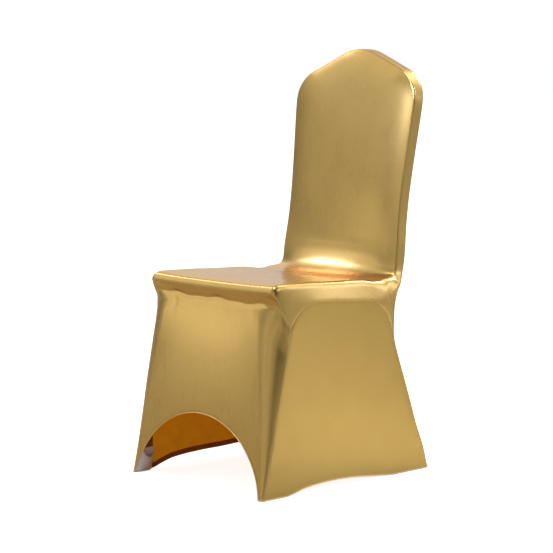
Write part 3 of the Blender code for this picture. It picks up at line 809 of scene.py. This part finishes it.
def side_outline(hem_line):
    """The right gusset's outline: up the rear seam, over the top, down the front seam, back along the hem."""
    rear = [rear_skirt_section(1 - step / SKIRT_ROWS)[-1] for step in range(SKIRT_ROWS + 1)]
    count = (len(SEAT_ROWS) - 1 - TONGUE_ROW) * SEAT_FINENESS
    top = [Vector(lookup(SEAT_ROWS, TONGUE_ROW + step / SEAT_FINENESS)[6:9]) for step in range(1, count + 1)]
    front = [skirt_section(step / SKIRT_ROWS)[-1] for step in range(SKIRT_ROWS + 1)]
    hem = []
    for step in range(1, SIDE_HEM_STEPS):
        y = front[-1].y + (rear[0].y - front[-1].y) * step / SIDE_HEM_STEPS
        z = max(lookup(hem_line, y)[0], 0.0)
        hem.append(Vector((side_x(z), y, z)))
    return shifted(rear + top + front), shifted(hem)


def side_sheet(name, side, hem_line):
    """One gusset as rings, with its cloth coordinates."""
    seam_part, hem_part = side_outline(hem_line)
    outline = seam_part + hem_part
    centre = Vector((side_x(SIDE_MIDDLE_Z), 0.0, SIDE_MIDDLE_Z))
    bm = bmesh.new()
    rings = []
    for ring in range(RINGS):
        share = 1 - (ring / RINGS) ** RING_CROWDING
        rings.append([bm.verts.new(centre.lerp(p, share)) for p in outline])
    pole = bm.verts.new(centre)
    count = len(outline)
    for outer, inner in zip(rings, rings[1:]):
        for i in range(count):
            j = (i + 1) % count
            bm.faces.new((outer[i], inner[i], inner[j], outer[j]))
    for i in range(count):
        bm.faces.new((rings[-1][i], pole, rings[-1][(i + 1) % count]))
    for vert in bm.verts:
        vert.co.x *= side
    bm.normal_update()
    if sum(face.normal.x for face in bm.faces) * side < 0:
        bmesh.ops.reverse_faces(bm, faces=bm.faces)
    write_cloth_places(bm, lambda vert: (vert.co.y, vert.co.z))
    seam_verts = rings[0][:len(seam_part)]
    hem_verts = rings[0][len(seam_part) - 1:] + [rings[0][0]]
    pressed_sheet(bm, set(hem_verts), seam_verts, ())
    line = [vert.co.copy() for vert in hem_verts]
    hem_rows = [[Vector((side * side_x(p.z + up), p.y, p.z + up)) for p in line] for up in SIDE_ROWS_UP]
    return cloth_object(name, bm, (gold_side_shaded, ochre_side)), hem_rows


side_left, side_left_hem_rows = side_sheet("side_cloth_left", -1, LEFT_HEM)
side_right, side_right_hem_rows = side_sheet("side_cloth_right", 1, RIGHT_HEM)

# %% [markdown]
# The foot pockets are small grey cups in the corners at the floor. Their solids already have the right
# size, so each is copied, its triangles are joined to larger faces, and a narrow bevel softens its edges.


# %% The foot pockets
SAME_POINT = 0.00002
POCKET_EDGE = 0.0005


def soft_pocket(node):
    """A softened copy of a foot pocket's solid."""
    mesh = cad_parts[node].data.copy()
    mesh.name = node + "_cloth"
    bm = bmesh.new()
    bm.from_mesh(mesh)
    bmesh.ops.remove_doubles(bm, verts=bm.verts, dist=SAME_POINT)
    bmesh.ops.dissolve_limit(
        bm, angle_limit=math.radians(1), verts=bm.verts, edges=bm.edges, delimit={"NORMAL"}
    )
    bmesh.ops.triangulate(bm, faces=[face for face in bm.faces if len(face.verts) > 4])
    for face in bm.faces:
        face.smooth = True
    write_cloth_places(bm, lambda vert: (vert.co.y + vert.co.x, vert.co.z))
    bm.to_mesh(mesh)
    bm.free()
    mesh.materials.clear()
    mesh.materials.append(pocket_cloth)
    pocket = placed(node + "_cloth", mesh)
    pocket.modifiers.new("round edges", "BEVEL").width = POCKET_EDGE
    return pocket


POCKET_NODES = [f"foot_pocket_{end}_{hand}" for end in ("front", "rear") for hand in ("left", "right")]
pockets = {node: soft_pocket(node) for node in POCKET_NODES}
print("pockets:", list(pockets))

# %% [markdown]
# The hem of a stretch cover is narrow: the edge is rolled over, and the turned-up cloth is held by one row
# of stitches a little above it. The roll and the stitches repeat or follow a path, so Geometry Nodes make
# them. The path is a line of points at a fixed distance above the hem's edge, measured along the cloth.

# %% Lines that follow a hem
HEM_ROLL_RADIUS = 0.0016
STITCH_HEIGHT = 0.0090
STITCH_PITCH = 0.0038
STITCH_LENGTH = 0.0024
STITCH_RADIUS = 0.00020
TURN_UP_HEIGHT = 0.0110
TURN_UP_THICKNESS = 0.0006
TURN_UP_CLEARANCE = 0.0003
TURN_UP_FLOOR = 0.0012
ROLL_STEP = 0.0040
NEXT_LINE = 0.0020
ROLL_CLEARANCE = 0.0001


def line_above_hem(rows, distance):
    """Points at a distance above the hem. The rows start at the hem and go up."""
    line = []
    for column in range(len(rows[0])):
        left = distance
        for lower, upper in zip(rows, rows[1:]):
            step = (upper[column] - lower[column]).length
            if left <= step:
                break
            left -= step
        line.append(lower[column].lerp(upper[column], min(left / step, 1.0)))
    return line


def lifted_line(rows, distance, height):
    """A line on the cloth that stands a height proud of its right side."""
    lower, upper = line_above_hem(rows, distance), line_above_hem(rows, distance + NEXT_LINE)
    line = []
    for i, place in enumerate(lower):
        along = lower[min(i + 1, len(lower) - 1)] - lower[max(i - 1, 0)]
        out = along.cross(upper[i] - place).normalized()
        line.append(place + (out if out.dot(place - COVER_MIDDLE) > 0 else -out) * height)
    return line


# %% [markdown]
# Both trees start with the same nodes: the line of the mesh becomes a curve. For the roll, a round profile
# is swept along it. For the stitches, the curve gives evenly spaced points with a direction, and a small
# ellipsoid is put on each. Realize Instances turns the copies into mesh, and Set Material gives the finish.


# %% Trees for the rolled edge and the stitches
def hem_tree(name, inputs):
    """A new tree with named number inputs: its start, and its mesh line as a curve."""
    tree = bpy.data.node_groups.new(name, "GeometryNodeTree")
    for way in ("INPUT", "OUTPUT"):
        tree.interface.new_socket("Geometry", in_out=way, socket_type="NodeSocketGeometry")
    for label, value in inputs.items():
        socket = tree.interface.new_socket(label, in_out="INPUT", socket_type="NodeSocketFloat")
        socket.default_value = value
    start = Paint(tree).node("NodeGroupInput", {}, {})
    return start, start.node("GeometryNodeMeshToCurve", {}, {"Mesh": start})


def end_tree(geometry, material):
    """Close a tree with Realize Instances and Set Material."""
    real = geometry.node("GeometryNodeRealizeInstances", {}, {0: geometry})
    finish = real.node("GeometryNodeSetMaterial", {}, {0: real, "Material": material})
    plug(finish.tree.nodes.new("NodeGroupOutput"), {0: finish})
    return finish.tree


def roll_tree(material):
    """A round edge along the line."""
    start, curve = hem_tree("rolled_edge", {"Radius": HEM_ROLL_RADIUS})
    even = curve.node("GeometryNodeResampleCurve", {"mode": "LENGTH"}, {"Curve": curve, "Length": ROLL_STEP})
    profile = curve.node(
        "GeometryNodeCurvePrimitiveCircle", {}, {"Resolution": 8, "Radius": start.beside("Radius")}
    )
    sweep = {"Curve": even, "Profile Curve": profile, "Fill Caps": True}
    return end_tree(curve.node("GeometryNodeCurveToMesh", {}, sweep), material)


def stitch_tree(material):
    """Short threads set evenly along the line."""
    start, curve = hem_tree(
        "hem_stitches", {"Pitch": STITCH_PITCH, "Length": STITCH_LENGTH, "Radius": STITCH_RADIUS}
    )
    pitch, length, radius = [start.beside(label) for label in ("Pitch", "Length", "Radius")]
    points = curve.node("GeometryNodeCurveToPoints", {"mode": "LENGTH"}, {"Curve": curve, "Length": pitch})
    along = {"Vector": points.beside("Tangent")}
    turn = curve.node("FunctionNodeAlignRotationToVector", {"axis": "Z"}, along)
    ball = curve.node("GeometryNodeMeshUVSphere", {}, {"Segments": 6, "Rings": 4, "Radius": 1.0})
    thread = curve.node("GeometryNodeSetShadeSmooth", {}, {"Geometry": ball})
    size = curve.node("ShaderNodeCombineXYZ", {}, {"X": radius, "Y": radius, "Z": length * 0.5})
    put = {"Points": points, "Instance": thread, "Rotation": turn, "Scale": size}
    return end_tree(curve.node("GeometryNodeInstanceOnPoints", {}, put), material)


def made_by(tree, name, points, values):
    """Run a tree on a line and keep the result as a plain mesh object."""
    line = bpy.data.meshes.new(name + "_line")
    line.from_pydata(points, [(i, i + 1) for i in range(len(points) - 1)], [])
    carrier = placed(name + "_line", line)
    maker = carrier.modifiers.new("maker", "NODES")
    maker.node_group = tree
    named = {item.name: item.identifier for item in tree.interface.items_tree if item.in_out == "INPUT"}
    for label, value in values.items():
        maker[named[label]] = value
    graph = bpy.context.evaluated_depsgraph_get()
    mesh = bpy.data.meshes.new_from_object(carrier.evaluated_get(graph), depsgraph=graph)
    mesh.name = name
    carrier.modifiers.remove(maker)
    bpy.data.objects.remove(carrier)
    mesh.shade_smooth()
    return placed(name, mesh)


# %% [markdown]
# The turned-up cloth shows inside, as a darker band along the hem. It is a narrow strip a little inside
# the panel, from the edge up to the row of stitches.

# %% The rolled edges, the stitches and the turned-up strips
rolled_edge, stitches = roll_tree(hem_gold_painted_highlight), stitch_tree(hem_thread)


def turn_up(name, rows):
    """The strip of turned-up cloth inside a hem."""
    inside = -(CLOTH_THICKNESS + TURN_UP_CLEARANCE)
    lines = [lifted_line(rows, TURN_UP_HEIGHT * step / 3, inside) for step in range(4)]
    bm = bmesh.new()
    grid = [[bm.verts.new(p) for p in line] for line in lines]
    for lower, upper in zip(grid, grid[1:]):
        for c in range(len(lower) - 1):
            bm.faces.new((lower[c], lower[c + 1], upper[c + 1], upper[c]))
    write_cloth_places(bm, lambda vert: (vert.co.x + vert.co.y, vert.co.z))
    bm.normal_update()
    if sum(face.normal.dot(face.calc_center_median() - COVER_MIDDLE) for face in bm.faces) > 0:
        bmesh.ops.reverse_faces(bm, faces=bm.faces)
    for vert in bm.verts:
        vert.co.z = max(vert.co.z, TURN_UP_FLOOR)
    return cloth_object(name, bm, (ochre_turned,), TURN_UP_THICKNESS, 1)


def hem_pieces(label, rows):
    """The rolled edge, the stitches and the turned-up strip of one hem."""
    edge = lifted_line(rows, 0.0, -CLOTH_THICKNESS / 2)
    edge = [Vector((p.x, p.y, max(p.z, HEM_ROLL_RADIUS + ROLL_CLEARANCE))) for p in edge]
    roll = made_by(rolled_edge, label + "_rolled_edge", edge, {"Radius": HEM_ROLL_RADIUS})
    line = lifted_line(rows, STITCH_HEIGHT, STITCH_RADIUS / 2)
    row = made_by(stitches, label + "_hem_stitches", line, {"Pitch": STITCH_PITCH})
    print(label, "hem:", len(row.data.vertices) // 20, "stitches")
    return [roll, row, turn_up(label + "_turned_up", rows)]


main_hem = hem_pieces("main", main_hem_rows)
rear_hem = hem_pieces("rear", rear_hem_rows)
left_hem = hem_pieces("left", side_left_hem_rows)
right_hem = hem_pieces("right", side_right_hem_rows)

# %% [markdown]
# A studio for shiny cloth is built from what the cloth reflects. The floor is white to the camera, but in
# what the cloth reflects it is lit by the lamps alone. A brown card lies on it in front. It shows only in
# what the cloth reflects, and it gives the underside of the seat's lip its dark band.

# %% The floor and the brown card
FLOOR_SEEN = 0.85
FLOOR_RADIUS = 40.0
CARD_CORNERS = ((-1.3, -1.2, 0.003), (0.9, -1.2, 0.003), (0.9, -0.28, 0.003), (-1.3, -0.28, 0.003))


def matte_board(mesh, finish, colour, roughness):
    """A floor or a card without gloss. It is part of the stage, not of the cover."""
    board = placed(mesh.name, mesh)
    paint, shader, material = new_finish(finish)
    plug(shader, {"Base Color": (*colour, 1), "Roughness": roughness, "Specular IOR Level": 0.0})
    mesh.materials.append(material)
    return board, paint, shader


floor_bm = bmesh.new()
bmesh.ops.create_circle(floor_bm, cap_ends=True, segments=96, radius=FLOOR_RADIUS)
floor_mesh = bpy.data.meshes.new("floor")
floor_bm.to_mesh(floor_mesh)
floor_bm.free()
floor, floor_paint, floor_shader = matte_board(floor_mesh, "pale_floor", (0.80, 0.80, 0.80), 0.9)
floor_glow = floor_paint.node("ShaderNodeLightPath", {}, {}) * FLOOR_SEEN
plug(floor_shader, {"Emission Color": floor_glow, "Emission Strength": 1.0})

card_mesh = bpy.data.meshes.new("brown_card")
card_mesh.from_pydata(CARD_CORNERS, [], [(0, 1, 2, 3)])
card, _, _ = matte_board(card_mesh, "brown_card", (0.62, 0.50, 0.36), 1.0)
card.visible_camera = card.visible_diffuse = card.visible_shadow = False
print("stage:", floor.name, card.name)

# %% [markdown]
# The air is not one grey: it has soft glows, each with a direction and a width, like large white boards
# round the cover. The camera sees plain white instead.

# %% The air and its glows
AIR_SEEN = 1.0
# degrees round from the front towards the right, degrees up, half width in degrees, strength
AIR_GLOWS = (
    (4, 6, 36, 0.62), (44, 6, 34, 0.56), (150, 6, 38, 0.85), (240, 6, 38, 0.90),
    (300, 6, 38, 0.37), (330, 6, 38, 0.33), (0, 42, 34, 0.32), (120, 42, 34, 0.77),
    (180, 42, 34, 1.52), (240, 42, 34, 0.70), (300, 42, 34, 1.10),
)

world = bpy.data.worlds.new("pale_air")
world.use_nodes = True
air = Paint(world.node_tree)
direction = air.node("ShaderNodeTexCoord", {}, {})
glow = 0.0
for turn, rise, half_width, strength in AIR_GLOWS:
    turn, rise = math.radians(turn), math.radians(rise)
    toward = (math.sin(turn) * math.cos(rise), -math.cos(turn) * math.cos(rise), math.sin(rise))
    near = air.node("ShaderNodeVectorMath", {"operation": "DOT_PRODUCT"}, {0: direction, 1: toward}, 1)
    edge = math.cos(math.radians(half_width))
    glow = glow + air.node(
        "ShaderNodeMapRange",
        {"interpolation_type": "SMOOTHSTEP"},
        {"Value": near, "From Min": edge, "From Max": 1.0, "To Max": strength},
    )
seen = air.node("ShaderNodeLightPath", {}, {})
brightness = glow + seen * (AIR_SEEN - glow)
plug(world.node_tree.nodes["Background"], {"Strength": brightness, "Color": (1, 1, 1, 1)})
bpy.context.scene.world = world
bpy.context.scene.view_settings.view_transform = "Standard"
print("glows in the air:", len(AIR_GLOWS))

# %% [markdown]
# Soft lamps do the rest. The large ones hang high and give the lips their bright lines, and one lights a
# pool on the floor for the side panel to reflect. The small ones stand close, most with a narrow spread
# like a grid on a softbox, and each places one soft gleam: on the hollow between seat and back, on the
# lip, the shoulder and the crown, low on the back and in the skirt. The lamps of the brightest gleams are
# a little cool, so that these come out nearly white on the gold.

# %% Soft lamps
# name, place, aim, width and height, spread in degrees, watts
SOFT_LAMPS = (
    ("over_the_front", (0.3, -0.6, 3.0), (0.0, 0.0, 0.5), (1.0, 1.0), 180, 29.5),
    ("over_the_rear", (0.4, 1.5, 2.8), (0.1, 0.0, 0.5), (1.4, 1.0), 180, 11.5),
    ("high_left", (-2.3, -0.3, 2.6), (0.0, 0.1, 0.45), (0.7, 0.7), 180, 4.0),
    ("high_right", (2.6, 1.2, 1.9), (0.2, 0.0, 0.5), (1.0, 0.8), 180, 6.0),
    ("low_right", (1.06, 0.67, 0.15), (0.21, -0.15, 0.09), (0.36, 0.36), 180, 0.27),
    ("floor_pool", (0.75, 0.45, 1.6), (0.66, 0.38, 0.0), (0.3, 0.3), 30, 1.3),
    ("low_back_gleam", (-0.52, -0.61, 0.58), (0.103, 0.173, 0.563), (0.3, 0.3), 180, 0.084),
    ("skirt_gleam", (-0.7, -0.91, 0.33), (0.032, -0.232, 0.294), (0.3, 0.3), 50, 0.011),
    ("skirt_top_gleam", (-0.74, -0.88, 0.51), (0.005, -0.222, 0.355), (0.3, 0.3), 40, 0.01),
)
COOL_LAMPS = (
    ("hollow_gleam", (-0.84, -0.1, 1.27), (0.0, 0.142, 0.452), (0.36, 0.36), 32, 0.12),
    ("lip_gleam", (0.04, 1.06, 1.19), (0.189, 0.141, 0.431), (0.36, 0.36), 50, 0.68),
    ("band_gleam", (0.88, 0.83, 0.87), (0.196, -0.052, 0.43), (0.3, 0.3), 40, 0.042),
    ("shoulder_gleam", (-0.3, -0.66, 1.04), (0.151, 0.209, 0.817), (0.3, 0.3), 180, 0.14),
    ("shoulder_edge_gleam", (-0.1, -0.71, 1.09), (0.165, 0.2, 0.875), (0.3, 0.3), 17, 0.013),
    ("rim_gleam", (0.55, -0.69, 1.53), (0.177, 0.22, 0.844), (0.3, 0.3), 26, 0.5),
    ("crown_gleam", (-0.74, -0.44, 1.1), (-0.022, 0.213, 0.87), (0.3, 0.3), 180, 0.09),
)
WHITE_LIGHT = (1.0, 1.0, 1.0)
COOL_LIGHT = (0.88, 1.0, 1.6)


def soft_lamp(name, place, aim, size, spread, watts, color):
    """A lamp with a soft rectangular face. The camera doesn't see the lamp itself."""
    lamp_data = bpy.data.lights.new(name, "AREA")
    lamp_data.shape = "RECTANGLE"
    lamp_data.size, lamp_data.size_y = size
    lamp_data.spread = math.radians(spread)
    lamp_data.energy = watts
    lamp_data.color = color
    lamp = placed(name, lamp_data)
    lamp.location = place
    lamp.rotation_euler = (Vector(aim) - Vector(place)).to_track_quat("-Z", "Y").to_euler()
    lamp.visible_camera = False


for rows, light in ((SOFT_LAMPS, WHITE_LIGHT), (COOL_LAMPS, COOL_LIGHT)):
    for row in rows:
        soft_lamp(*row, light)
print("lamps:", [row[0] for row in SOFT_LAMPS + COOL_LAMPS])

# %% [markdown]
# Last, every piece is tied to the cover's one body: it rides on it. Each panel and each pocket stands for
# the solid of the same place, which is hidden.

for piece, node in (
    (main_panel, "main_panel"),
    (rear_panel, "rear_panel"),
    (side_left, "side_panel_left"),
    (side_right, "side_panel_right"),
):
    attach(piece, "root")
    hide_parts(node)
for piece in main_hem + rear_hem + left_hem + right_hem:
    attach(piece, "root")
for node, piece in pockets.items():
    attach(piece, "root")
    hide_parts(node)
